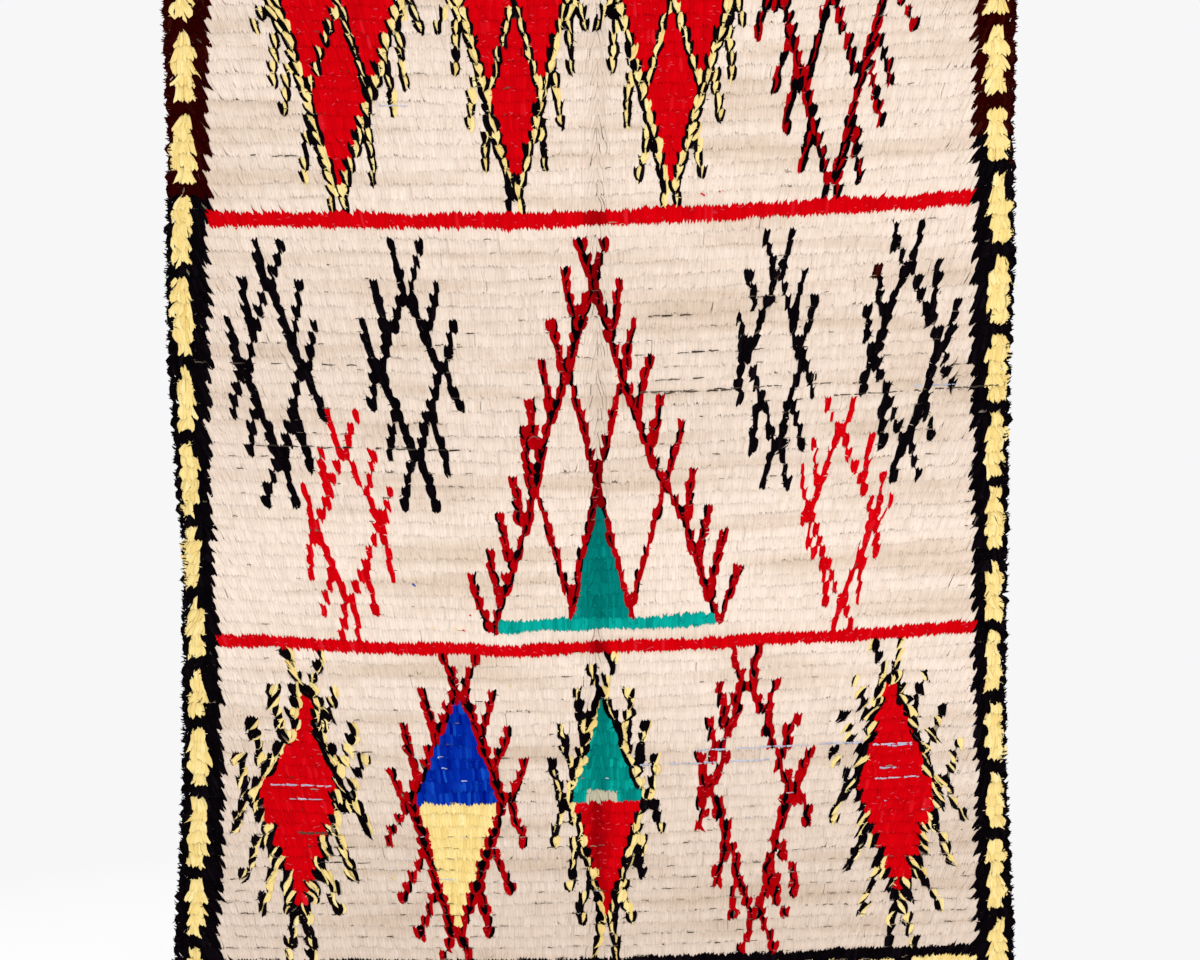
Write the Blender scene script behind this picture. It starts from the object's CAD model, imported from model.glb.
import math

import bpy
import numpy as np
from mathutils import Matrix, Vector


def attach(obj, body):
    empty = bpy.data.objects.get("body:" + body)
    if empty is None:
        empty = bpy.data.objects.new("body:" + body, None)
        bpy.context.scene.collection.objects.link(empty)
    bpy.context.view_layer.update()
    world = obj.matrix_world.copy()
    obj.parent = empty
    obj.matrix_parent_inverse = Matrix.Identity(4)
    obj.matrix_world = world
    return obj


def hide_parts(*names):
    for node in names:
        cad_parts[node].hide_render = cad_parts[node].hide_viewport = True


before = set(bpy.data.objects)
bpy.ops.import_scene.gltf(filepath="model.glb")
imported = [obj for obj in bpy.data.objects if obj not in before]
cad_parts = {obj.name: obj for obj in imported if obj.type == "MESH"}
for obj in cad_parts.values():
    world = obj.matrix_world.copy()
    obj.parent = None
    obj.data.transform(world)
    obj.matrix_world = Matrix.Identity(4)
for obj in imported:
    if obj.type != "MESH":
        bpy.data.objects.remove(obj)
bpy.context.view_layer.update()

# A hung wool rug: every end of its pile in its own yarn, laid over a woven ground.
# Metres, +Z up, the pile faces -Y, and the origin is the middle of the top edge, on the back.
# The pattern is charted by knot rows, counted from the top edge, and by millimetres from the middle.

chance = np.random.default_rng(11)

# Sizes of the rug, as in the solids. A {place: size} table is read with straight lines between its places.
ROWS = 101
ROW_HEIGHT = {0: 0.0195, 36: 0.0193, 69: 0.0163, 97: 0.0154, 101: 0.0150}
LEFT_EDGE = {0.0: 0.604, 0.4: 0.602, 0.6: 0.595, 0.77: 0.598, 0.9: 0.594, 1.05: 0.585, 1.18: 0.574,
             1.5: 0.574, 1.64: 0.581, 1.79: 0.589}
RIGHT_EDGE = {0.0: 0.597, 0.4: 0.595, 0.6: 0.591, 0.77: 0.592, 0.9: 0.587, 1.05: 0.583, 1.37: 0.580,
              1.5: 0.580, 1.64: 0.588, 1.79: 0.592}
LOWEST_X = -0.13
LEFT_RISE = {0: 0.0, 35: 0.004, 69: 0.019, 97: 0.0, 101: 0.0}
RIGHT_RISE = {0: 0.015, 10: 0.030, 35: 0.037, 69: 0.037, 97: 0.026, 101: 0.024}
RISE_POWER = 1.3
FOLD_X = 0.007
FOLD_DEPTH = 0.0030
FOLD_HALF_WIDTH = 0.022
RIM_SHARE = 0.70
RIM_WIDTH = 0.02

# Pile ends
END_PITCH = 0.0044  # from one end to the next along a row
RIM_MARGIN = 4.0  # millimetres from the rim to the first of the even ends
RIM_ENDS = np.array([1.5, 6.0])  # two more stand as far inside it as this
PLACE_UNEVEN = 0.8
BUNCH_SIZE = 3  # ends that draw together outside the knotted lines
OVERLAP = 0.0004  # how far an end reaches past the middle between it and its neighbour
HALF_WIDTHS = (0.001, 0.006)  # the least and the most
END_DEPTH = 0.0008
PATH_DOWN = (-0.15, 0.20, 0.60, 0.98, 1.20)  # stations from root to tip, as shares of the row's height
PATH_OUT = (0.0101, 0.0116, 0.0122, 0.0123, 0.0120)  # and how far off the back they lie
PATH_WIDTH = (0.90, 1.0, 1.0, 0.92, 0.0)
PATH_SQUEEZE = (0.10, -0.12, 0.08, 0.72, 1.0)  # how far the ends of a bunch draw together
PATH_MIDDLE = 0.55  # where an end shows most, as a share of the row's height
PLAIN_BUNCH = 0.12  # how much of that squeeze there is outside the knotted lines
FOLLOW = 0.7  # how far the ends of a line lean along it
CROSS_LEAN = 0.2  # ends that lean this far don't follow a line that runs the other way
FOLD_LEAN = 0.25
LINE_UNTIDY = 1.7
SPLAY_UNEVEN = (0.4, 1.5)

# How ends differ from each other, before their untidiness
LENGTH_UNEVEN = 0.07
LEAN_UNEVEN = 0.07
BEND_UNEVEN = 0.06
LIFT_UNEVEN = 0.00025
DEPTH_UNEVEN = 0.2

# Soft waves along the rows: their length in millimetres, and their size
LEAN_WAVE = (160, 0.05)
HEIGHT_WAVE = (230, 0.0024)
TONE_WAVE = (60, 0.5)

# Stray ends and hairs
FUZZ_PER_ROW = 10  # at each side
FUZZ_REACH = (0.001, 0.0055)
FUZZ_DROP = (-0.002, 0.0025)  # mean and spread
FUZZ_OUT = (0.004, 0.010)
FUZZ_ROOT = 0.006
FUZZ_INSIDE = 0.001
FUZZ_BOW = 0.002
FUZZ_HALF_WIDTH = 0.0011
HAIR_REACH = (0.002, 0.007)
HAIR_DOWN = (0.1, 0.98)
HAIR_DROP = (-0.001, 0.004)
HAIR_BOW = 0.0007
HAIR_OUT = 0.0006
HAIR_HALF_WIDTH = 0.0007

# How far an end leans sideways for its length, by millimetres from the middle, and how much more it leans
# inward by millimetres inside the rim: the yellow of the borders fans out
LEAN = {-600: 0.32, -500: 0.30, -400: 0.26, -250: 0.17, -100: 0.05, 0: 0.0,
        150: -0.06, 300: -0.14, 400: -0.22, 500: -0.30, 600: -0.32}
RIM_LEAN = {0: -0.42, 10: -0.85, 22: -0.40, 36: 0.12, 50: 0.28, 72: 0.14, 110: 0.0}
RIM_UNEVEN = (0.2, 1.25)  # how much of that there is in a row
RIM_BULGE = {0: 0.20, 8: 0.10, 16: 0.0}  # how far a rim end bows outward, as a share of the row's height

# Yarns
IVORY, RED, BLACK, BROWN, YELLOW, TEAL, BLUE, GREY = range(8)
YARN_NAMES = "ivory red black brown yellow teal blue grey".split()


def mix(text):
    """A mixed line's orders, of which each row takes one. B is black, Y is yellow and R is red."""
    yarns = {"B": BLACK, "Y": YELLOW, "R": RED}
    return tuple(tuple(yarns[letter] for letter in order) for order in text.split())


YELLOW_BLACK = mix("BYB BYB BYB BYYB BBYB BY")
BLACK_YELLOW = mix("BYB BYBB BBY BYB YBB")
SMALL_MIX = mix("BYB BYBB BBY BYB BY")
BLACK_RED = mix("BRB BRB BBRB RBR RBB RBRB")
RED_ROUND_BLACK = mix("RBR RBR RBR RBR RRB")
RED_BLACK = mix("RRB BRR RBR RBR RRBR")
RED_FLECKED = mix("RBR RRBR RBRR RBR BRRR")
RED_MIXES = (BLACK_RED, RED_ROUND_BLACK, RED_BLACK, RED_FLECKED)
MIX_TINT = -0.22  # their red is darker
THIN = {RED_ROUND_BLACK: BLACK, RED_BLACK: BLACK, RED_FLECKED: BLACK, SMALL_MIX: YELLOW}
THIN_SHARE = 0.40  # what an end of such a thin yarn takes of the gap to its neighbour

CELL = 13.4  # width of a knotted line, in millimetres
BARB_CELL = 11.8
APART = 0.33  # how far two lines that meet keep from their middle, as a share of that width
BARB_ROWS = 3.4  # rows that a barb takes from its tip to the line it stands on
BARB_ROOT = 0.8  # how far from that line's middle it ends, as a share of its own width


def read(table, at):
    """The value of a {place: size} table at a place, or at each of many."""
    return np.interp(at, list(table), list(table.values()))


# Places of the rows: their upper edges and the last one's lower edge, their middles and their rims
TOPS = np.concatenate([[0.0], np.cumsum(read(ROW_HEIGHT, np.arange(ROWS) + 0.5))])
HEIGHTS = np.diff(TOPS)
MIDDLES = (TOPS[:-1] + TOPS[1:]) / 2
RIMS = 1000 * np.stack([-read(LEFT_EDGE, MIDDLES), read(RIGHT_EDGE, MIDDLES)], axis=1)


def rise(x, row):
    """How far a row stands above its lowest place, at x in metres."""
    on_left = x < LOWEST_X
    reach = np.where(on_left, LOWEST_X + LEFT_EDGE[0.0], RIGHT_EDGE[0.0] - LOWEST_X)
    height = np.where(on_left, read(LEFT_RISE, row), read(RIGHT_RISE, row))
    return height * (np.abs(x - LOWEST_X) / reach) ** RISE_POWER


def in_fold(x):
    """From 0 at the sides of the fold to 1 in its middle, at x in metres."""
    return np.clip(1 - np.abs(x - FOLD_X) / FOLD_HALF_WIDTH, 0, 1)


def waves(rows, places, length, size):
    """A soft random wave along every row, at places in millimetres."""
    value = np.zeros(len(places))
    for share in (1.0, 0.61, 0.37):
        phase = chance.uniform(0, 2 * math.pi, ROWS + 1)[rows]
        value += share * np.sin(2 * math.pi * places / (length * share) + phase)
    return size * value / 2


def along(points, row):
    """Where a line through points of (row, millimetres) lies at a row."""
    rows, places = zip(*points)
    return np.interp(row, rows, places)


# The chart: one yarn for every end
class Chart:
    def __init__(self):
        rows, places, knots = [], [], []
        for row, (left, right) in enumerate(RIMS):
            count = round((right - left - 2 * RIM_MARGIN) / (1000 * END_PITCH))
            even = np.linspace(left + RIM_MARGIN, right - RIM_MARGIN, count)
            even += chance.uniform(-PLACE_UNEVEN, PLACE_UNEVEN, count)
            ends = np.sort(np.concatenate([even, left + RIM_ENDS, right - RIM_ENDS]))
            group = (np.arange(len(ends)) + chance.integers(0, BUNCH_SIZE)) // BUNCH_SIZE
            centres = np.bincount(group, ends) / np.bincount(group)
            rows.append(np.full(len(ends), row))
            places.append(ends)
            knots.append(centres[group])
        self.rows = np.concatenate(rows)
        self.places = np.concatenate(places)
        self.knots = np.concatenate(knots)
        count = len(self.rows)
        self.yarn = np.full(count, IVORY)
        self.untidy = np.ones(count)
        self.bunch = np.full(count, PLAIN_BUNCH)
        self.slant, self.splay, self.tint, self.longer = np.zeros((4, count))
        self.thin = np.zeros(count, dtype=bool)
        self.first = np.searchsorted(self.rows, np.arange(ROWS + 1))

    def paint(self, row, left, right, yarn, untidy=1.0, tint=0.0, longer=0.0):
        """Knots the ends of one row from left to right in a yarn, or in a mix of two."""
        ends = np.arange(self.first[row], self.first[row + 1])
        ends = ends[(self.places[ends] >= left) & (self.places[ends] < right)]
        if isinstance(yarn, tuple):
            order = yarn[chance.integers(len(yarn))]
            self.yarn[ends] = [order[int((k + 0.5) * len(order) / len(ends))] for k in range(len(ends))]
        else:
            self.yarn[ends] = yarn
        self.thin[ends] = self.yarn[ends] == THIN.get(yarn, -1)
        self.tint[ends] = tint + (MIX_TINT if yarn in RED_MIXES else 0.0)
        self.longer[ends] = longer
        self.untidy[ends] = untidy
        self.bunch[ends] = PLAIN_BUNCH
        self.slant[ends] = self.splay[ends] = 0.0
        return ends

    def line(self, points, yarn, width, untidy=1.0, splay=0.0, bunch=1.0, stray=0.0):
        """A knotted line through points of (row, millimetres), whose loose ends may splay to a side."""
        points = sorted(points)
        for row in range(int(points[0][0]), int(points[-1][0]) + 1):
            middle = along(points, row + 0.5) + chance.normal(0, 1) * stray
            ends = self.paint(row, middle - width / 2, middle + width / 2, yarn, LINE_UNTIDY * untidy)
            if len(ends):
                self.knots[ends] = self.places[ends].mean()
                self.bunch[ends] = bunch
                self.slant[ends] = (along(points, row + 1) - along(points, row)) / (1000 * HEIGHTS[row])
                self.splay[ends] = splay * chance.uniform(*SPLAY_UNEVEN)

    def fill(self, left_points, right_points, yarn, tint=0.0):
        """Every end between two lines of (row, millimetres)."""
        for row in range(int(left_points[0][0]), int(left_points[-1][0]) + 1):
            left, right = along(left_points, row + 0.5), along(right_points, row + 0.5)
            self.paint(row, left, right, yarn, tint=tint)


def barbs(chart, side, outward, tips, yarn, width, untidy, splay=0.0, bunch=1.0, stray=0.0):
    """Short lines from their outer tips back to a side, 3 or 4 rows towards its middle."""
    widest = max(side, key=lambda point: outward * point[1])[0]
    for row, place in tips:
        root_row = row + BARB_ROWS if row < widest else row - BARB_ROWS
        root = along(side, root_row) + outward * width * BARB_ROOT
        chart.line([(row, place), (root_row, root)], yarn, width, untidy, outward * splay, bunch, stray)


def lozenge(chart, yarn, prongs, join, left, right, cross, legs, tips, fills=(), extra=(),
            widths=(CELL, BARB_CELL), untidy=1.0, splay=0.0, bunch=1.0, stray=0.0, neck=()):
    """A barbed lozenge: two prongs, two sides that part at the join and meet at the cross, and two legs.

    Its barbs end at the tips of its left and of its right side. A neck is where the sides stay close
    together, as points of (row, millimetres from the join).
    """
    sides = []
    for outward, corner in ((-1, left), (1, right)):
        sides.append([join, *[(row, join[1] + outward * apart) for row, apart in neck], corner, cross])
    for top_row, end_row, colour in fills:
        rows = [top_row, *range(int(top_row) + 1, int(end_row)), end_row]
        edges = [[(row, along(side, row)) for row in rows] for side in sides]
        chart.fill(*edges, colour, FILL_TINT.get(colour, 0.0))
    width, barb_width = widths
    for outward, side, side_tips in zip((-1, 1), sides, tips):
        barbs(chart, side, outward, side_tips, yarn, barb_width, untidy, splay, bunch, stray)
    for points in extra:
        chart.line(points, yarn, barb_width, untidy)
    for outward, prong, side, leg in zip((-1, 1), prongs, sides, legs):
        above = (join[0], join[1] + outward * APART * width)
        below = (cross[0], cross[1] + outward * APART * width)
        chart.line([prong, above], yarn, barb_width, untidy, stray=stray / 2)
        chart.line([below, leg], yarn, barb_width, untidy, stray=stray / 2)
        whole = [above, *side[1:-1], below]
        if neck:
            chart.line(whole[:len(neck) + 1], yarn, width, untidy, stray=stray / 2)
        chart.line(whole[len(neck):], yarn, width, untidy, outward * splay, bunch, stray)


# Upper compartment: four tall lozenges divided in four, seen in the photograph from their middle down
TALL_MIDDLE_ROW = 19.5
TALL_HALF_ROWS = 14.0
TALL_LEG = (15.4, 10)  # rows from the middle row, and millimetres to each side
TALL_FILL = (0.7, 0.6)  # rows between the red and the join, and the cross
TALL_LOZENGES = (  # tips in rows from the middle row and millimetres from the middle
    dict(middle=-358, half_widths=(87, 87), widths=(18, 13.3),
         tips=(((2, 115), (5.5, 93), (8, 77), (12.5, 49)),) * 2),
    dict(middle=-108, half_widths=(79, 72), widths=(17.2, 13.3),
         tips=(((2.2, 111), (5, 86), (8.9, 64), (12.4, 44)),
               ((2.2, 100), (4.9, 80), (9, 66), (12.4, 43)))),
    dict(middle=110, half_widths=(73, 87), widths=(17.4, 13.3),
         tips=(((2.4, 104), (4.8, 81), (8.9, 63), (13.2, 44)),
               ((2.4, 103), (5.8, 87), (9, 70), (13.2, 45)))),
    dict(middle=337, half_widths=(72, 77), yarn=BLACK_RED, filling=None, widths=(14.8, 12.2),
         tips=(((2.5, 103), (7.3, 82), (9.7, 64), (13.4, 42)),
               ((3.2, 120), (7.2, 85), (9.5, 68), (13.5, 38)))),
)


def tall_lozenge(chart, middle, half_widths, widths, tips, yarn=YELLOW_BLACK, filling=RED):
    """A lozenge divided in four, whose upper half mirrors its lower half."""
    def at(rows, place=0.0):
        return TALL_MIDDLE_ROW + rows, middle + place

    half = TALL_HALF_ROWS
    leg_rows, leg = TALL_LEG
    left, right = half_widths
    mirrored = []
    for outward, side in zip((-1, 1), tips):
        mirrored.append([at(way * rows, outward * place) for rows, place in side for way in (-1, 1)])
    fill_top, fill_end = at(-half)[0] + TALL_FILL[0], at(half)[0] - TALL_FILL[1]
    lozenge(
        chart, yarn,
        prongs=(at(-leg_rows, -leg), at(-leg_rows, leg)),
        join=at(-half), left=at(0, -left), right=at(0, right), cross=at(half),
        legs=(at(leg_rows, -leg), at(leg_rows, leg)),
        tips=mirrored, widths=widths,
        fills=() if filling is None else ((fill_top, fill_end, filling),),
        extra=((at(-half / 2, right / 2), at(half / 2, -left / 2)),
               (at(-half / 2, -left / 2), at(half / 2, right / 2))),
    )


# Middle compartment: four black and two red lozenges, and a great triangle between them
MIDDLE_LOZENGES = (
    dict(yarn=BLACK, prongs=((37.3, -473), (37.3, -437)), join=(40.4, -457), left=(47.1, -488),
         right=(47, -410), cross=(53.9, -438), legs=((57.3, -458), (57.2, -419)),
         tips=(((40.5, -492), (43.6, -510), (50, -504), (53.4, -482)),
               ((40.8, -413), (43.6, -392), (54.2, -396))), extra=(((47, -404), (50.2, -378)),)),
    dict(yarn=BLACK, prongs=((37.3, -282), (37.3, -243)), join=(41.1, -262), left=(46.9, -299),
         right=(46.8, -214), cross=(53.3, -247), legs=((57.1, -264), (57.2, -221)),
         tips=(((40.7, -305), (43.2, -322), (49.6, -309), (53.9, -284)),
               ((40.4, -219), (43.1, -195), (54.1, -204))), extra=(((46.8, -208), (49.8, -185)),)),
    dict(yarn=RED, prongs=((50.7, -372), (50.5, -333)), join=(53.6, -350), left=(59.9, -388),
         right=(58.9, -299), cross=(65.7, -341), legs=((68.7, -353), (68.7, -328)),
         tips=(((53.2, -382), (56.5, -403), (63.3, -396), (66.7, -378)),
               ((53.1, -308), (56.3, -284), (63, -281), (66.4, -305))), widths=(10.3, 8.8)),
    dict(yarn=BLACK, prongs=((37.3, 246), (37.5, 281)), join=(40.6, 262), left=(46.4, 221),
         right=(47.1, 291), cross=(53.3, 260), legs=((56.7, 240), (56.8, 275)),
         tips=(((40.3, 222), (43.2, 209), (49.2, 206), (53.3, 226)),
               ((40.4, 298), (42.8, 313), (49.7, 315), (53.5, 295))), widths=(10.8, 9.6), untidy=1.8,
         bunch=1.2, stray=1.5),
    dict(yarn=BLACK, prongs=((37.9, 427), (37.5, 462)), join=(40.3, 445), left=(46.9, 397),
         right=(46.9, 488), cross=(53.6, 440), legs=((56.5, 423), (56.7, 458)),
         tips=(((40.7, 402), (43.2, 385), (53.7, 403)),
               ((40.7, 487), (43.4, 513), (49.2, 503), (53.8, 475))), extra=(((46.4, 396), (49, 381)),),
         widths=(12.6, 11), untidy=1.6, bunch=1.2, stray=1.5),
    dict(yarn=RED, prongs=((50, 329), (50.4, 368)), join=(52.9, 348), left=(59.2, 307), right=(59.5, 396),
         cross=(66.5, 351), legs=((68.8, 340), (68.8, 366)),
         tips=(((53.3, 312), (55.9, 295), (62.5, 309), (66, 329)),
               ((53.2, 393), (56.3, 410), (62.5, 399), (66, 374))),
         extra=(((59, 290), (59.9, 300)), ((58.9, 420), (59.9, 404))), widths=(8.9, 7.6)),
)

TRIANGLE_TOP = (40.2, 1)
TRIANGLE_SIDES = (  # outward, prong, points of the side, tips
    (-1, (37.2, -18), (TRIANGLE_TOP, (46.4, -32), (51.9, -66), (59.2, -93), (67.5, -138)), (
        (39.9, -37), (43, -59), (46.1, -70), (49.3, -87), (51.7, -96), (55.2, -111), (58.5, -129),
        (61.2, -145), (63.9, -166))),
    (1, (37.5, 18), (TRIANGLE_TOP, (47.6, 44), (54, 84), (59, 129), (67.5, 177)), (
        (40.1, 38), (43.1, 60), (46.2, 79), (49.1, 98), (51.9, 126), (55.1, 140), (58, 166), (60.6, 185),
        (63.5, 205))),
)
TRIANGLE_INNER = (
    ((47.1, -32), (55.5, 6), (66.9, 56)),
    ((47.8, 41), (55.5, 8), (66.9, -32)),
    ((57.1, -74), (65.4, -30)),
    ((55.9, 103), (65.4, 58)),
)
TRIANGLE_HEART = (((57.5, 4), (66.9, -27)), ((57.5, 11), (66.9, 52)))
TRIANGLE_BASE = (67, -130, 171)
TRIANGLE_WIDTHS = (15.5, 13, 11.5)  # of its sides, barbs and inner lines
TRIANGLE_UNTIDY = 1.2
BASE_TINT = 0.45  # how much lighter its wool is
FILL_TINT = {TEAL: 0.2}

# Lower compartment: five lozenges in a row
LOWER_LOZENGES = (
    dict(yarn=SMALL_MIX, prongs=((70.8, -427), (70.7, -382)), join=(73, -405), left=(82, -477),
         right=(82, -354), cross=(93.4, -409), legs=((96.4, -428), (96.4, -392)),
         tips=(((73.2, -452), (76.2, -478), (79, -500), (85.6, -502), (89.4, -484), (92.6, -462)),
               ((73.2, -360), (76.4, -336), (79.6, -320), (85.4, -318), (89.2, -338), (92.4, -356))),
         fills=((74.3, 92.6, RED),), widths=(18.5, 15), untidy=2, splay=0.5, bunch=0.6, stray=2.5,
         neck=((74, 15), (77, 18), (78.8, 36))),
    dict(yarn=RED_ROUND_BLACK, prongs=((70, -209), (70, -162)), join=(73.1, -187), left=(82.6, -255),
         right=(82.8, -126), cross=(94.8, -190), legs=((96.4, -211), (96.4, -174)),
         tips=(((73.4, -237), (76.6, -266), (80.2, -284), (86.7, -289), (91.2, -266), (94.6, -243)),
               ((73.2, -138), (76.1, -115), (79.3, -94), (86.3, -97), (90.5, -115), (94, -146))),
         fills=((73.8, 83, BLUE), (83, 94.2, YELLOW)), widths=(16, 14), untidy=1.4),
    dict(yarn=SMALL_MIX, prongs=((71, -1), (70.9, 28)), join=(73.7, 13), left=(82.4, -34), right=(82.6, 74),
         cross=(93.1, 20), legs=((96.5, 4), (96.7, 34)),
         tips=(((73.4, -20), (76.4, -41), (79.5, -56), (86, -53), (90, -31), (93.8, -17)),
               ((73.8, 53), (76.3, 76), (79.5, 91), (85.8, 97), (89.5, 69), (93.8, 56))),
         fills=((74, 83, TEAL), (83, 92, RED)), widths=(15.5, 13.5), untidy=1.6, stray=1.5),
    dict(yarn=RED_FLECKED, prongs=((70, 197), (70.2, 233)), join=(73.4, 218), left=(82.5, 167),
         right=(82.6, 278), cross=(93.3, 230), legs=((96.5, 214), (96.6, 256)),
         tips=(((73.3, 180), (76.1, 163), (79.1, 146), (85.7, 149), (90.8, 167), (93.5, 197)),
               ((73, 257), (76.1, 289), (79.6, 306), (85.7, 305), (91.1, 289), (93.8, 274))),
         widths=(15.2, 12.6), untidy=1.8, bunch=0.3, stray=3),
    dict(yarn=BLACK_YELLOW, prongs=((70.5, 395), (70.2, 438)), join=(73.2, 418), left=(82.6, 370),
         right=(83, 489), cross=(93.4, 433), legs=((96.5, 416), (96.5, 452)),
         tips=(((73, 372), (76.2, 352), (79.4, 336), (85.4, 336), (89.4, 360), (93, 384)),
               ((73, 466), (76.2, 494), (79.4, 516), (85.6, 522), (89.6, 505), (93.2, 482))),
         fills=((73.6, 92.6, RED),), widths=(14, 11.6), untidy=1.8, splay=0.7, bunch=0.5, stray=2.5,
         neck=((73.6, 13), (75.2, 17))),
)
GREY_PATCH = (82, -9, 38)
BROWN_TIP = (40, 394, 408)
PATCH_UNTIDY = 2.0

# Tones: how much the ends of each yarn differ, in the yarns' order, and the lightest of them
PLAIN_TONE = 0.44
TONES = ((0.09, 0.62), (0.04, 0.55), (0.1, 0.7), (0.1, 0.7), (0.11, 0.8), (0.16, 0.9), (0.18, 0.9),
         (0.15, 0.9))
FOLD_TONE = 0.35  # how much darker it is in the fold

# The ivory is three pieces, by rows
IVORY_PARTS = {"upper": (0, 35), "middle": (35, 69), "lower": (69, ROWS)}

# How many of a yarn's ends have a stray hair
HAIR_SHARES = {IVORY: 0.25, RED: 0.4, BLACK: 0.8, BROWN: 0.8, YELLOW: 0.7, TEAL: 0.4, BLUE: 0.5}

# Where neighbouring ends part and show the ground: the share of them by millimetres from the fold, and
# half the gap
PARTED = {0: 0.4, 10: 0.25, 16: 0.03, 40: 0.004}
PARTING = (0.0, 0.0004)

# Threads of the ground: (row, from, to in millimetres, share of it that shows)
WEFT_THREADS = {
    "dark_thread": (
        (46.6, -558, -410, 0.8), (53.1, -473, -171, 0.6), (48.0, 74, 159, 0.85), (48.9, 67, 340, 0.7),
        (49.9, 340, 573, 0.8), (78.7, -337, -249, 0.7), (88.4, -382, -270, 0.6), (31.0, -480, -410, 0.6),
        (46.6, -380, -330, 0.3), (43.1, 60, 160, 0.4), (46.0, 60, 250, 0.3), (85.8, -414, -362, 1.0),
        (85.9, -410, -366, 1.0), (49.0, 67, 200, 0.6),
    ),
    "lilac_thread": (
        (78.9, 140, 395, 0.75), (79.3, 398, 450, 0.9), (80.0, 67, 250, 0.6), (49.6, 433, 517, 0.7),
        (79.2, 395, 450, 1.0), (81.2, 404, 428, 1.0), (82.1, 398, 460, 1.0), (81.7, -452, -366, 0.9),
        (82.9, -425, -366, 0.9), (79.0, -250, -215, 0.6), (89.8, -215, -190, 0.7), (27.3, -305, -246, 0.6),
    ),
}
SPECKS_PER_ROW = {
    "dark_thread": {0: 1, 39: 3, 42: 10, 56: 10, 60: 2, 84: 4, 90: 30, 96: 36},
    "lilac_thread": {0: 0, 75: 0, 78: 2, 92: 2, 97: 0},
}
SPECK_PLACES = (-515, 530)  # in millimetres
SPECK_LENGTH = (1.0, 13.0)
THREAD_DASH = (5.0, 22.0)
THREAD_HALF_WIDTH = {"dark_thread": (0.0006, 0.0013), "lilac_thread": (0.0008, 0.0017)}
SPECK_HALF_WIDTH = (0.0003, 0.0009)
THREAD_OUT = 0.0134
THREAD_WOBBLE = 0.025  # of a row

# Single ends of other yarns in the ivory: (row, millimetres)
STRAY_TUFTS = {
    RED: ((66.6, -171), (67.9, -180), (34.2, 155), (34.1, 180), (34.3, 158), (88.9, -160)),
    YELLOW: ((67.8, -223), (67.8, -192), (89.6, -281), (89.7, -278), (72.6, -115)),
    BLUE: ((64.1, -251), (64.2, -249)),
}
TUFT_HALF_WIDTH = 0.0013

# Borders, in millimetres from the middle by metres below the top: where the yellow starts and ends, seen
# from the rim, and where the plain ground starts
LEFT_BORDER = (
    {0.0: -590, 0.6: -590, 0.77: -592, 0.9: -585, 1.05: -579, 1.18: -573, 1.37: -565, 1.5: -566, 1.79: -572},
    {0.0: -560, 0.6: -559, 0.77: -564, 0.9: -562, 1.05: -556, 1.18: -552, 1.37: -543, 1.5: -539, 1.79: -548},
    {0.0: -541, 0.77: -540, 1.05: -538, 1.18: -532, 1.37: -523, 1.5: -518, 1.64: -520, 1.79: -526},
)
RIGHT_BORDER = (
    {0.0: 584, 0.6: 582, 0.77: 587, 0.9: 583, 1.05: 580, 1.37: 576, 1.5: 578, 1.79: 582},
    {0.0: 556, 0.6: 554, 0.77: 561, 0.9: 557, 1.05: 553, 1.37: 553, 1.64: 557, 1.79: 559},
    {0.0: 539, 0.6: 537, 1.05: 536, 1.37: 538, 1.64: 540, 1.79: 543},
)
LEFT_GAPS = (3, 9, 15, 21, 27, 33, 39, 46, 52, 59, 65, 71, 76, 82, 89, 95)
RIGHT_GAPS = (4, 10, 16, 22, 28, 33, 39, 45, 51, 57, 63, 69, 75, 81, 87, 94)
BORDER_UNTIDY = 2.2
BORDER_UNEVEN = 3.0
BORDER_START = 12  # inside the rim, where its dark yarn starts
BORDER_LAP = 4  # how far the end borders reach into the side borders
DASH_SHORT = (5, 2)  # how much shorter the first and the last row of a yellow dash are on its inner side
OUTER_SHORT = 0.6  # and the share of that on its outer side
LEFT_BROWN_END = 34
RIGHT_BROWN_END = 31
RED_ROWS = {35: 0.14, 69: 0.04}  # and how much longer their ends are
RED_UNTIDY = 0.8
END_BORDERS = ((0, BROWN), (97, BLACK))  # first of four rows
DASH = 95
DASH_GAP = 19
LAST_DASH_END = 541


def side_border(chart, row, outward, zones, gaps, dark):
    rim = RIMS[row, (outward + 1) // 2]
    uneven = chance.uniform(-BORDER_UNEVEN, BORDER_UNEVEN, 3)
    start, end, inner = [read(zone, MIDDLES[row]) for zone in zones] + uneven
    chart.paint(row, *sorted((rim + BORDER_START * outward, inner)), dark, BORDER_UNTIDY)
    if row not in gaps:
        after, before = DASH_SHORT
        short = after if row - 1 in gaps else before if row + 1 in gaps else 0
        edges = sorted((start - OUTER_SHORT * short * outward, end + short * outward))
        chart.paint(row, *edges, YELLOW, BORDER_UNTIDY)


def end_border(chart, first, dark):
    left = read(LEFT_BORDER[2], TOPS[first]) - BORDER_LAP
    right = read(RIGHT_BORDER[2], TOPS[first]) + BORDER_LAP
    for row in range(first, first + 4):
        chart.paint(row, left, right, dark)
    end = LAST_DASH_END
    while end > left:
        for row in (first + 1, first + 2):
            chart.paint(row, max(left, end - DASH), min(right, end), YELLOW)
        end -= DASH + DASH_GAP


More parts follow.
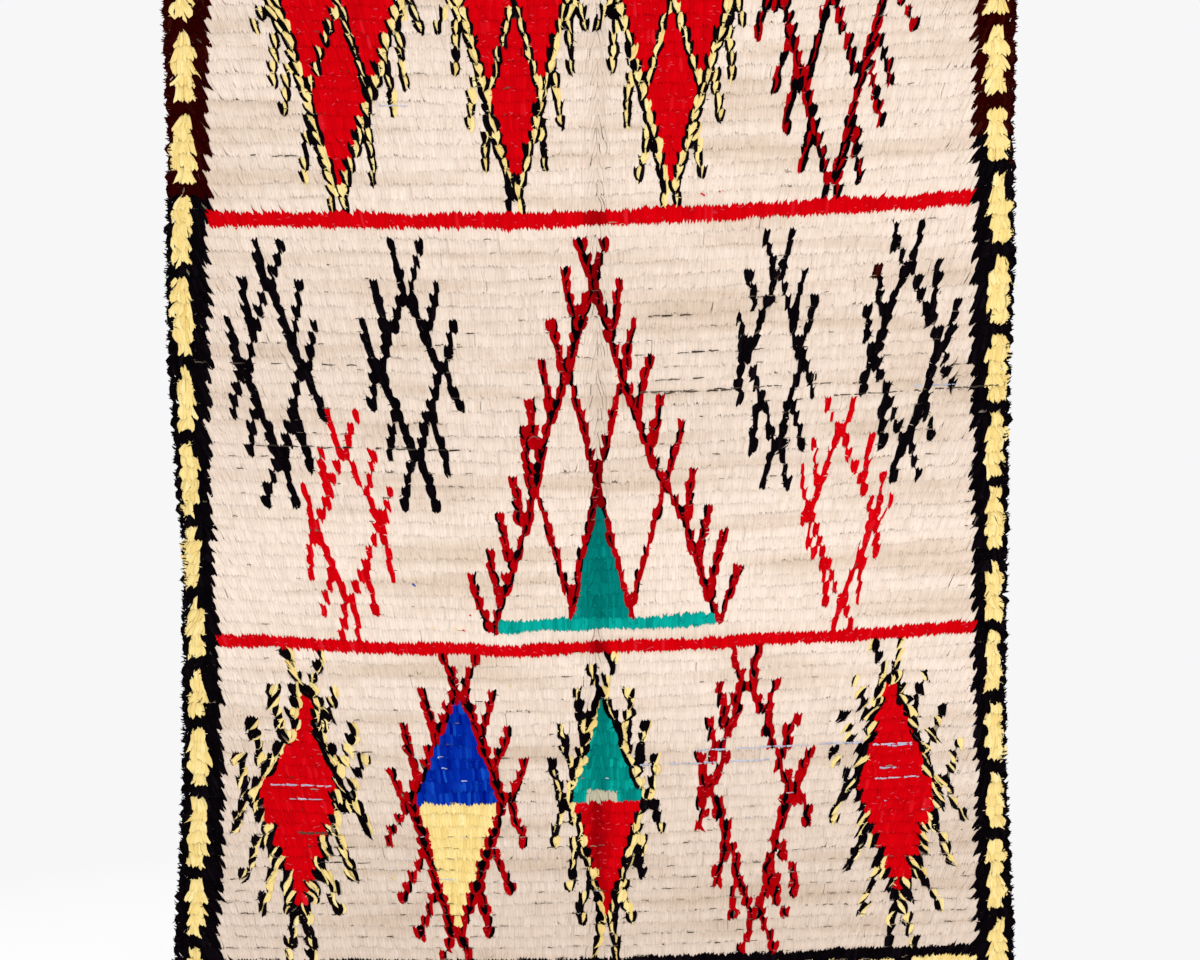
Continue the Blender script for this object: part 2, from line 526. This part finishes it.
def charted():
    """The whole pattern, ground first and borders last."""
    chart = Chart()
    for motif in TALL_LOZENGES:
        tall_lozenge(chart, **motif)
    for motif in MIDDLE_LOZENGES + LOWER_LOZENGES:
        lozenge(chart, **motif)
    chart.fill(*TRIANGLE_HEART, TEAL)
    side_width, barb_width, inner_width = TRIANGLE_WIDTHS
    for points in TRIANGLE_INNER:
        chart.line(points, RED_BLACK, inner_width)
    for outward, prong, side, tips in TRIANGLE_SIDES:
        barbs(chart, side, outward, tips, RED_BLACK, barb_width, TRIANGLE_UNTIDY)
        chart.line([prong, *side], RED_BLACK, side_width)
    chart.paint(*TRIANGLE_BASE, TEAL, tint=BASE_TINT)
    chart.paint(*GREY_PATCH, GREY, PATCH_UNTIDY)
    chart.paint(*BROWN_TIP, BROWN, PATCH_UNTIDY)
    for row, longer in RED_ROWS.items():
        chart.paint(row, *RIMS[row], RED, RED_UNTIDY, longer=longer)
    for first, dark in END_BORDERS:
        end_border(chart, first, dark)
    for row in range(ROWS):
        left_dark = BROWN if row < LEFT_BROWN_END else BLACK
        right_dark = BROWN if row < RIGHT_BROWN_END else BLACK
        side_border(chart, row, -1, LEFT_BORDER, LEFT_GAPS, left_dark)
        side_border(chart, row, 1, RIGHT_BORDER, RIGHT_GAPS, right_dark)
    return chart


# Materials
NOISE_DETAIL = 3.0
WOOL_FIBRES = (620.0, 620.0, 70.0)  # stretched down the pile
SOILED_ROWS = (3.0, 1.0, 26.0)  # stretched along the rows
SOIL = (0.66, 0.52, 0.40, 1.0)
SOIL_SHARE = 0.8
FIBRE_SHADE = 0.88

# How much darker the ivory is, by the share of the way down: dusty where it was folded, and towards its foot
WORN = {0.20: 0.95, 0.36: 0.98, 0.46: 0.93, 0.56: 0.93, 0.63: 1.0, 0.72: 1.0, 0.80: 0.93, 0.88: 0.87,
        0.96: 0.84}

# The dark, plain and light tone of each wool. Its gloss is 0, its sheen 0 and its roots ROOT, or as given.
WOOLS = {
    "ivory_wool": ((0.72, 0.59, 0.485), (0.84, 0.705, 0.60), (0.90, 0.79, 0.70)),
    "red_wool": ((0.20, 0.0003, 0.002), (0.64, 0.0006, 0.004), (0.78, 0.10, 0.15)),
    "black_wool": ((0.001, 0.0005, 0.001), (0.003, 0.002, 0.003), (0.012, 0.008, 0.012)),
    "brown_wool": ((0.010, 0.0004, 0.0003), (0.024, 0.0008, 0.0006), (0.07, 0.012, 0.006)),
    "yellow_wool": ((0.75, 0.52, 0.15), (0.89, 0.70, 0.285), (0.95, 0.83, 0.47)),
    "teal_wool": ((0.0005, 0.15, 0.13), (0.001, 0.205, 0.18), (0.003, 0.42, 0.35)),
    "blue_wool": ((0.0004, 0.006, 0.20), (0.001, 0.022, 0.34), (0.008, 0.09, 0.54)),
    "grey_wool": ((0.46, 0.42, 0.30), (0.58, 0.53, 0.40), (0.72, 0.68, 0.56)),
    "dark_thread": ((0.02, 0.02, 0.016), (0.12, 0.09, 0.065), (0.40, 0.30, 0.22)),
    "lilac_thread": ((0.42, 0.46, 0.62), (0.60, 0.64, 0.78), (0.78, 0.80, 0.88)),
}
ROOT = 0.95
ROOTS = {"ivory_wool": 0.975, "red_wool": 1.0}
SHEEN = {"ivory_wool": 0.05}
GLOSS = {"ivory_wool": 0.1, "yellow_wool": 0.02, "grey_wool": 0.02, "dark_thread": 0.02, "lilac_thread": 0.02}


def new_material(name):
    """A material, its nodes and its shader."""
    material = bpy.data.materials.new(name)
    material.use_nodes = True
    return material, material.node_tree, material.node_tree.nodes["Principled BSDF"]


def feed(tree, node, **inputs):
    """Sets inputs of a node to values, or joins them to other nodes' outputs."""
    for name, value in inputs.items():
        socket = node.inputs[name.replace("_", " ")]
        if isinstance(value, bpy.types.NodeSocket):
            tree.links.new(value, socket)
        else:
            socket.default_value = value
    return node


def linked(tree, kind, settings=None, **inputs):
    """A new node with its settings and inputs."""
    node = tree.nodes.new(kind)
    for name, value in (settings or {}).items():
        setattr(node, name, value)
    return feed(tree, node, **inputs)


def ramp(tree, factor, *stops):
    """The colour along stops of (place, colour), where one number stands for a grey."""
    node = linked(tree, "ShaderNodeValToRGB", Fac=factor)
    for _ in stops[2:]:
        node.color_ramp.elements.new(0.5)
    for element, (place, colour) in zip(node.color_ramp.elements, stops):
        element.position = place
        element.color = (*colour, 1.0) if isinstance(colour, tuple) else (colour, colour, colour, 1.0)
    return node.outputs["Color"]


def mixed(tree, factor, first, second, blend="MIX"):
    settings = {"data_type": "RGBA", "blend_type": blend}
    node = linked(tree, "ShaderNodeMix", settings, Factor=factor, A=first, B=second)
    return node.outputs["Result"]


def shaded(tree, colour, factor, *stops):
    """A colour times that of a ramp."""
    return mixed(tree, 1.0, colour, ramp(tree, factor, *stops), "MULTIPLY")


def object_place(tree):
    return linked(tree, "ShaderNodeTexCoord").outputs["Object"]


def stretched_noise(tree, scale):
    """Noise in the object's own space, stretched by three scales."""
    mapped = linked(tree, "ShaderNodeMapping", Vector=object_place(tree), Scale=scale).outputs["Vector"]
    return linked(tree, "ShaderNodeTexNoise", Vector=mapped, Scale=1.0, Detail=NOISE_DETAIL).outputs["Fac"]


def attribute(tree, name, output="Fac"):
    return linked(tree, "ShaderNodeAttribute", {"attribute_name": name}).outputs[output]


def wool(name):
    """Soft spun wool: a tone for each end, shaded roots and fine fibres. The ivory is worn and stained."""
    material, tree, shader = new_material(name)
    colour = ramp(tree, attribute(tree, "tone"), *zip((0.0, 0.5, 1.0), WOOLS[name]))
    if name == "ivory_wool":
        share = ramp(tree, stretched_noise(tree, SOILED_ROWS), (0.48, 0.0), (0.66, SOIL_SHARE))
        colour = mixed(tree, share, colour, SOIL)
        height = linked(tree, "ShaderNodeSeparateXYZ", Vector=object_place(tree)).outputs["Z"]
        share = linked(tree, "ShaderNodeMapRange", Value=height, From_Min=0.0, From_Max=-TOPS[-1])
        bands = [(place, (tint, tint ** 1.15, tint ** 1.3)) for place, tint in WORN.items()]
        colour = shaded(tree, colour, share.outputs["Result"], *bands)
    root = ROOTS.get(name, ROOT)
    down = attribute(tree, "down")
    colour = shaded(tree, colour, down, (0.05, root), (0.25, 0.96), (0.6, 1.0), (1.0, 0.99))
    fibres = stretched_noise(tree, WOOL_FIBRES)
    colour = shaded(tree, colour, fibres, (0.32, FIBRE_SHADE), (0.66, 1.0))
    bump = linked(tree, "ShaderNodeBump", Strength=0.35, Distance=0.0006, Height=fibres)
    feed(tree, shader, Base_Color=colour, Normal=bump.outputs["Normal"], Roughness=0.9,
         Specular_IOR_Level=GLOSS.get(name, 0.0), Sheen_Weight=SHEEN.get(name, 0.0), Sheen_Roughness=0.5)
    return material


def ground_weave():
    """Plain weave of warp and weft, coloured by the knots that show on the back."""
    material, tree, shader = new_material("ground_weave")
    place = object_place(tree)
    height = linked(tree, "ShaderNodeMath", {"operation": "ADD"})
    for socket, (direction, scale, distortion) in zip(height.inputs, (("X", 72.0, 0.6), ("Z", 190.0, 0.8))):
        threads = linked(tree, "ShaderNodeTexWave", {"bands_direction": direction}, Vector=place, Scale=scale,
                         Distortion=distortion)
        tree.links.new(threads.outputs["Fac"], socket)
    weave = height.outputs["Value"]
    colour = shaded(tree, attribute(tree, "knots", "Color"), weave, (0.1, 0.62), (0.9, 1.0))
    colour = shaded(tree, colour, stretched_noise(tree, (60.0, 60.0, 260.0)), (0.3, 0.82), (0.7, 1.0))
    bump = linked(tree, "ShaderNodeBump", Strength=0.6, Distance=0.0008, Height=weave)
    feed(tree, shader, Base_Color=colour, Normal=bump.outputs["Normal"], Roughness=0.92,
         Specular_IOR_Level=0.2)
    return material


MATERIALS = {name: wool(name) for name in WOOLS}
MATERIALS["ground_weave"] = ground_weave()


# Building
def tubes(paths, lefts, rights, depths, hanging=False):
    """Points and faces of closed three-sided tubes with an edge in front, from half widths to each side.

    paths is (tube, station, xyz), and the last station is a tip. Hanging tubes are as wide as that along X.
    """
    count, stations = paths.shape[:2]
    if hanging:
        across = np.broadcast_to([1.0, 0.0, 0.0], paths.shape)
        front = np.broadcast_to([0.0, -1.0, 0.0], paths.shape)
    else:
        path = np.gradient(paths, axis=1)
        path /= np.linalg.norm(path, axis=2, keepdims=True)
        across = np.stack([-path[..., 2], np.zeros((count, stations)), path[..., 0]], axis=-1)
        across /= np.linalg.norm(across, axis=2, keepdims=True)
        front = np.cross(path, across)
    corners = [
        paths + front * depths[..., None],
        paths - across * lefts[..., None] - front * depths[..., None] / 2,
        paths + across * rights[..., None] - front * depths[..., None] / 2,
    ]
    rings = np.stack(corners, axis=2)[:, :-1].reshape(count, -1, 3)
    points = np.concatenate([rings, paths[:, -1:]], axis=1)
    per_tube = points.shape[1]
    starts = np.arange(count)[:, None, None] * per_tube
    quads, triangles = [], [(0, 2, 1)]
    for side in range(3):
        after = (side + 1) % 3
        for low in range(0, 3 * (stations - 2), 3):
            high = low + 3
            quads.append((low + side, low + after, high + after, high + side))
        last = 3 * (stations - 2)
        triangles.append((last + side, last + after, per_tube - 1))
    faces = (np.array(quads)[None] + starts).reshape(-1, 4).tolist()
    faces += (np.array(triangles)[None] + starts).reshape(-1, 3).tolist()
    station_of = np.concatenate([np.repeat(np.arange(stations - 1), 3), [stations - 1]])
    return points.reshape(-1, 3), faces, per_tube, station_of


def placed(name, data):
    made = bpy.data.objects.new(name, data)
    bpy.context.scene.collection.objects.link(made)
    return made


def new_object(name, points, faces, look):
    """A piece in one of the materials, whose slot has its name or is shared."""
    mesh = bpy.data.meshes.new(name)
    mesh.from_pydata(points, [], faces)
    mesh.materials.append(MATERIALS[look])
    made = placed(name, mesh)
    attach(made, "root")
    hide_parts("rug")
    return made


def add_values(made, name, values):
    made.data.attributes.new(name, "FLOAT", "POINT").data.foreach_set("value", values.astype(np.float32))


def strands(name, stations, half_width, tones, look):
    """Fine strands through lists of stations, thinner towards their tips."""
    paths = np.stack(stations, axis=1)
    shares = np.interp(np.linspace(0, 1, len(stations)), (0, 0.7, 1), (1.0, 0.75, 0.0))
    widths = np.broadcast_to(np.asarray(half_width), (len(paths),))[:, None] * shares
    points, faces, per_tube, _ = tubes(paths, widths, widths, widths)
    made = new_object(name, points, faces, look)
    add_values(made, "tone", np.repeat(np.asarray(tones), per_tube))
    add_values(made, "down", np.full(len(paths) * per_tube, PATH_MIDDLE))
    return made


def pile_paths(chart):
    """Stations of every end, its half widths to the left and right, and its depths."""
    count = len(chart.rows)
    rows, places, untidy = chart.rows, chart.places, chart.untidy
    pitch = HEIGHTS[rows]
    length = 1 + chart.longer + chance.normal(0, LENGTH_UNEVEN, count) * np.sqrt(untidy)
    x = places / 1000
    inside = np.minimum(x - RIMS[rows, 0] / 1000, RIMS[rows, 1] / 1000 - x)
    uneven = chance.uniform(*RIM_UNEVEN, 2 * ROWS)[2 * rows + (x > 0)]
    plain_lean = read(LEAN, places) - np.sign(x) * read(RIM_LEAN, 1000 * inside) * uneven
    lean = plain_lean + waves(rows, places, *LEAN_WAVE) + chance.normal(0, LEAN_UNEVEN, count) * untidy
    against = chart.slant * plain_lean < 0
    follow = np.where(against, np.clip(1 - np.abs(plain_lean) / CROSS_LEAN, 0, 1), 1)
    lean += FOLLOW * chart.slant * follow
    lean = np.where(chart.splay == 0, lean, chart.splay)
    bend = chance.normal(0, BEND_UNEVEN, count) * untidy + np.sign(x) * read(RIM_BULGE, 1000 * inside)
    lift = chance.normal(0, LIFT_UNEVEN, count) * untidy
    wander = waves(rows, places, *HEIGHT_WAVE)
    folded = in_fold(x)
    lean += FOLD_LEAN * folded * np.sign(x - FOLD_X)
    flat = RIM_SHARE + (1 - RIM_SHARE) * np.clip(inside / RIM_WIDTH, 0, 1)
    stations = []
    for down, out, squeeze in zip(PATH_DOWN, PATH_OUT, PATH_SQUEEZE):
        hang = pitch * down * length
        side = x + lean * (hang - pitch * PATH_MIDDLE) + bend * pitch * math.sin(math.pi * down)
        side += squeeze * chart.bunch * (chart.knots / 1000 - x)
        below = TOPS[rows] + hang + wander
        forward = out * flat - FOLD_DEPTH * folded + lift
        stations.append(np.stack([side, -forward, rise(side, rows) - below], axis=-1))
    paths = np.stack(stations, axis=1)
    gaps = np.diff(paths[..., 0], axis=0, append=paths[-1:, :, 0] + END_PITCH)
    gaps[chart.first[1:] - 1] = END_PITCH
    share = 0.5 + (0.5 - THIN_SHARE) * (np.roll(chart.thin, -1).astype(float) - chart.thin)[:, None]
    rights = np.clip(gaps * share + OVERLAP, *HALF_WIDTHS)
    others = np.clip(gaps * (1 - share) + OVERLAP, *HALF_WIDTHS)
    parted = (chance.random(count) < read(PARTED, 1000 * np.abs(x - FOLD_X))) & (chart.yarn == IVORY)
    parting = OVERLAP + chance.uniform(*PARTING, parted.sum())[:, None]
    rights[parted] -= parting
    others[parted] -= parting
    lefts = np.roll(others, 1, axis=0)
    lefts[chart.first[:-1]] = END_PITCH / 2
    profile = np.array(PATH_WIDTH)[None]
    depths = END_DEPTH * (1 + chance.normal(0, DEPTH_UNEVEN, count))[:, None] * profile
    return paths, lefts * profile, rights * profile, depths


def pile(chart):
    """One piece for each yarn, and the ivory in three because of its size."""
    paths, lefts, rights, depths = pile_paths(chart)
    spread, lightest = np.array(TONES)[chart.yarn].T
    tone = PLAIN_TONE + chance.normal(0, 1, len(chart.rows)) * spread
    tone += waves(chart.rows, chart.places, *TONE_WAVE) * spread
    tone = np.clip(tone + chart.tint - FOLD_TONE * in_fold(chart.places / 1000), 0.0, lightest)
    groups = [(YARN_NAMES[yarn], yarn, chart.yarn == yarn) for yarn in range(RED, len(YARN_NAMES))]
    for part, (first, after) in IVORY_PARTS.items():
        chosen = (chart.yarn == IVORY) & (chart.rows >= first) & (chart.rows < after)
        groups.append((f"ivory_{part}", IVORY, chosen))
    made = []
    for name, yarn, chosen in groups:
        points, faces, per_tube, station_of = tubes(
            paths[chosen], lefts[chosen], rights[chosen], depths[chosen], hanging=True)
        piece = new_object(f"pile_{name}", points, faces, f"{YARN_NAMES[yarn]}_wool")
        add_values(piece, "tone", np.repeat(tone[chosen], per_tube))
        add_values(piece, "down", np.tile(np.array(PATH_DOWN)[station_of], chosen.sum()))
        made.append(piece)
    return made + [stray_hairs(chart, paths, yarn, share) for yarn, share in HAIR_SHARES.items()]


def stray_hairs(chart, paths, yarn, share):
    """Fine hairs that cross from the ends of one yarn onto their neighbours."""
    roots = np.flatnonzero(chart.yarn == yarn)
    roots = roots[chance.random(len(roots)) < share]
    count = len(roots)
    starts = []
    for down, root in zip(chance.uniform(*HAIR_DOWN, count), roots):
        starts.append([np.interp(down, PATH_DOWN, paths[root, :, axis]) for axis in range(3)])
    start = np.array(starts) - [0.0, HAIR_OUT, 0.0]
    reach = np.where(chance.random(count) < 0.5, 1, -1) * chance.uniform(*HAIR_REACH, count)
    drop = chance.uniform(*HAIR_DROP, count)
    stations = []
    for part in (0.0, 0.5, 1.0):
        bow = HAIR_BOW * math.sin(math.pi * part)
        stations.append(start + np.stack([reach * part, np.full(count, -bow), -drop * part], axis=-1))
    name = YARN_NAMES[yarn]
    tones = chance.uniform(0.5, 0.9, count)
    return strands(f"hairs_{name}", stations, HAIR_HALF_WIDTH, tones, f"{name}_wool")


def rim_fuzz():
    """Thin stray ends that stand out past the side edges."""
    made = []
    for name, first, after in (("brown", 0, LEFT_BROWN_END), ("black", LEFT_BROWN_END, ROWS)):
        rows = np.repeat(np.arange(first, after), 2 * FUZZ_PER_ROW)
        count = len(rows)
        side = np.arange(count) % 2
        outward = 2.0 * side - 1
        down = chance.uniform(0.0, 1.0, count)
        below = TOPS[rows] + down * HEIGHTS[rows]
        bulge = RIM_BULGE[0] * HEIGHTS[rows] * np.sin(math.pi * down)
        edge = RIMS[rows, side] / 1000 + outward * (bulge - FUZZ_INSIDE)
        reach = chance.uniform(*FUZZ_REACH, count)
        drop = chance.normal(*FUZZ_DROP, count)
        forward = chance.uniform(*FUZZ_OUT, count)
        stations = []
        for share in (0.0, 0.4, 0.75, 1.0):
            x = edge + outward * (reach * share - FUZZ_ROOT * (1 - share))
            y = -forward - FUZZ_BOW * math.sin(math.pi * share)
            stations.append(np.stack([x, y, rise(x, rows) - below - drop * share ** 2], axis=-1))
        tones = chance.uniform(0.3, 0.9, count)
        made.append(strands(f"rim_fuzz_{name}", stations, FUZZ_HALF_WIDTH, tones, f"{name}_wool"))
    return made


def row_point(row, place, forward):
    """The point at a row, which may be a fraction, and at millimetres from the middle."""
    x = place / 1000
    below = np.interp(row, np.arange(ROWS + 1), TOPS)
    return np.stack([x, np.full(len(x), -forward), rise(x, row) - below], axis=-1)


def weft_threads():
    """Threads of the ground that show between two rows, broken where the pile covers them."""
    made = []
    for name, threads in WEFT_THREADS.items():
        shown_bits = []  # (row, from, to, tone, half width)
        for row, left, right, shown in threads:
            at = left
            while at < right:
                dash = chance.uniform(*THREAD_DASH)
                if chance.random() < shown:
                    shown_bits.append((row + chance.normal(0, 0.02), at, min(right, at + dash),
                                       chance.uniform(0, 0.5), chance.uniform(*THREAD_HALF_WIDTH[name])))
                at += dash * chance.uniform(0.9, 1.2)
        for row in range(1, ROWS):
            for _ in range(int(read(SPECKS_PER_ROW[name], row))):
                at = chance.uniform(*SPECK_PLACES)
                shown_bits.append((row + chance.normal(0, 0.03), at, at + chance.uniform(*SPECK_LENGTH),
                                   chance.uniform(0.1, 1), chance.uniform(*SPECK_HALF_WIDTH)))
        rows, starts, ends, tones, half_widths = np.array(shown_bits).T
        stations = []
        for part in (0.0, 0.35, 0.7, 1.0):
            wobble = chance.normal(0, THREAD_WOBBLE, len(rows))
            stations.append(row_point(rows + wobble, starts + (ends - starts) * part, THREAD_OUT))
        made.append(strands(f"weft_{name}", stations, half_widths, tones, name))
    return made


def stray_tufts():
    """Single short ends of another yarn, caught in the ivory."""
    made = []
    for yarn, tufts in STRAY_TUFTS.items():
        rows, places = np.array(tufts).T
        stations = []
        for part in (0.0, 0.5, 1.0):
            place = places + (part - 0.5) * chance.uniform(2.0, 5.0, len(rows))
            forward = THREAD_OUT + 0.001 * math.sin(math.pi * part)
            stations.append(row_point(rows + 0.12 * part, place, forward))
        name = YARN_NAMES[yarn]
        tones = chance.uniform(0.4, 0.8, len(rows))
        made.append(strands(f"tufts_{name}", stations, TUFT_HALF_WIDTH, tones, f"{name}_wool"))
    return made


# The ground: a thin closed sheet whose back shows the knots in their rows, with the weft between
GROUND_FRONT = 0.0068
RIM_FRONT = 0.0078  # it reaches the roots of the pile along its sides
HEM_FRONT = 0.0096  # and along its top and its lower edge
GROUND_INSET = 0.008
GROUND_COLUMNS = 130
KNOT_SHARE = 0.34  # of a row's height
WEFT_SINK = 0.0008
WEFT_COLOURS = ((0.55, 0.45, 0.34), (0.52, 0.42, 0.31), (0.47, 0.37, 0.27), (0.60, 0.51, 0.40),
                (0.55, 0.45, 0.34), (0.50, 0.40, 0.30), (0.58, 0.48, 0.37), (0.56, 0.47, 0.36),
                (0.14, 0.075, 0.055))
KNOT_COLOURS = ((0.72, 0.60, 0.48), (0.55, 0.01, 0.012), (0.012, 0.009, 0.012), (0.045, 0.008, 0.005),
                (0.78, 0.56, 0.20), (0.01, 0.22, 0.18), (0.005, 0.03, 0.38), (0.5, 0.46, 0.36))  # by yarn


def ground(chart):
    lines = []  # (row, how far below the top, how deep its back lies)
    for row, (top, height) in enumerate(zip(TOPS, HEIGHTS)):
        knot = height * KNOT_SHARE
        lines += [(row, top, 0.0), (row, top + knot, 0.0), (row, top + (height + knot) / 2, WEFT_SINK)]
    lines.append((ROWS - 1, TOPS[-1], 0.0))
    columns = GROUND_COLUMNS + 1
    shares = np.linspace(0, 1, columns)
    back, front = [], []
    for number, (row, below, sink) in enumerate(lines):
        left = GROUND_INSET - read(LEFT_EDGE, below)
        right = read(RIGHT_EDGE, below) - GROUND_INSET
        x = left + shares * (right - left)
        z = rise(x, row) - below
        out = np.full(columns, GROUND_FRONT if 0 < number < len(lines) - 1 else HEM_FRONT)
        out[[0, -1]] = RIM_FRONT
        out -= FOLD_DEPTH * in_fold(x)
        back.append(np.stack([x, np.full(columns, -sink), z], axis=-1))
        front.append(np.stack([x, -out, z], axis=-1))
    points = np.concatenate([*back, *front])
    size = len(lines) * columns
    faces, colours = [], []

    def add(colour, *corners):
        faces.append(corners)
        colours.append(colour)

    for line in range(len(lines) - 1):
        row, kind = divmod(line, 3)
        weft = WEFT_COLOURS[chance.integers(len(WEFT_COLOURS))] if kind != 2 else weft
        for column in range(GROUND_COLUMNS):
            corner = line * columns + column
            colour = weft
            if kind == 0:
                middle = points[corner, 0] * 1000 + 500 * (points[corner + 1, 0] - points[corner, 0])
                places = chart.places[chart.first[row]:chart.first[row + 1]]
                nearest = chart.first[row] + np.argmin(np.abs(places - middle))
                colour = KNOT_COLOURS[chart.yarn[nearest]]
            add(colour, corner, corner + columns, corner + columns + 1, corner + 1)
            other = corner + size
            add(colour, other, other + 1, other + columns + 1, other + columns)
    for low in range(0, size - columns, columns):
        high = low + columns
        add(WEFT_COLOURS[0], low, low + size, high + size, high)
        low, high = low + GROUND_COLUMNS, high + GROUND_COLUMNS
        add(WEFT_COLOURS[0], low, high, high + size, low + size)
    for top in range(GROUND_COLUMNS):
        low = top + size - columns
        add(WEFT_COLOURS[0], top, top + 1, top + 1 + size, top + size)
        add(WEFT_COLOURS[0], low, low + size, low + 1 + size, low + 1)
    made = new_object("ground_sheet", points, faces, "ground_weave")
    made.data.shade_flat()
    values = np.ones((len(faces), 4, 4), dtype=np.float32)
    values[:, :, :3] = np.array(colours, dtype=np.float32)[:, None, :]
    made.data.attributes.new("knots", "FLOAT_COLOR", "CORNER").data.foreach_set("color", values.ravel())
    return made


# Stage, light and camera
FLOOR_Z = -2.12
FLOOR_RADIUS = 7
FLOOR_SIDES = 64
FLOOR_FADE = (2.3, 3.4)  # from where the floor passes into the background, and to where
BACKGROUND = (0.93, 0.93, 0.94, 1.0)
BACKGROUND_STRENGTH = 1.0
LIGHT_TARGET = (0.0, 0.0, -1.0)
FACE_WIDTH = 1.686  # what the image's width shows at the pile's face
FRAME_CENTRE = (0.011, -1.056)
FACE_Y = -0.0145
FOCAL = 50.0
SENSOR = 36.0


def aimed(thing, place, target):
    thing.location = place
    thing.rotation_euler = (Vector(target) - Vector(place)).to_track_quat("-Z", "Y").to_euler()


def area_light(name, place, size, power):
    lamp = bpy.data.lights.new(name, "AREA")
    lamp.shape = "DISK"
    lamp.size = size
    lamp.energy = power
    made = placed(name, lamp)
    made.visible_camera = False
    aimed(made, place, LIGHT_TARGET)


def floor():
    mesh = bpy.data.meshes.new("floor")
    angles = np.arange(FLOOR_SIDES) * 2 * math.pi / FLOOR_SIDES
    rim = [(FLOOR_RADIUS * math.cos(angle), FLOOR_RADIUS * math.sin(angle), FLOOR_Z) for angle in angles]
    mesh.from_pydata(rim, [], [tuple(range(FLOOR_SIDES))])
    material, tree, shader = new_material("pale_floor")
    feed(tree, shader, Base_Color=(0.86, 0.86, 0.86, 1.0), Roughness=0.8)
    spread = linked(tree, "ShaderNodeVectorMath", {"operation": "LENGTH"})
    tree.links.new(object_place(tree), spread.inputs[0])
    far = linked(tree, "ShaderNodeMapRange", Value=spread.outputs["Value"], From_Min=FLOOR_FADE[0],
                 From_Max=FLOOR_FADE[1])
    glow = linked(tree, "ShaderNodeEmission", Color=BACKGROUND, Strength=BACKGROUND_STRENGTH)
    fade = linked(tree, "ShaderNodeMixShader")
    for socket, output in zip(fade.inputs, (far.outputs["Result"], shader.outputs[0], glow.outputs[0])):
        tree.links.new(output, socket)
    feed(tree, tree.nodes["Material Output"], Surface=fade.outputs["Shader"])
    mesh.materials.append(material)
    made = placed("floor", mesh)


def stage():
    scene = bpy.context.scene
    scene.view_settings.view_transform = "Standard"
    world = bpy.data.worlds.new("studio")
    world.use_nodes = True
    feed(world.node_tree, world.node_tree.nodes["Background"], Color=BACKGROUND, Strength=BACKGROUND_STRENGTH)
    scene.world = world
    floor()
    area_light("key_light", (0.9, -3.4, -0.3), 2.4, 53.0)
    area_light("back_light", (-1.8, 3.0, 0.9), 1.8, 40.0)
    lens = bpy.data.cameras.new("camera")
    lens.lens = FOCAL
    lens.sensor_width = SENSOR
    camera = placed("camera", lens)
    x, z = FRAME_CENTRE
    aimed(camera, (x, FACE_Y - FACE_WIDTH * FOCAL / SENSOR, z), (x, 0.0, z))
    scene.camera = camera


def main():
    chart = charted()
    pieces = pile(chart) + rim_fuzz() + weft_threads() + stray_tufts()
    sheet = ground(chart)
    stage()


main()
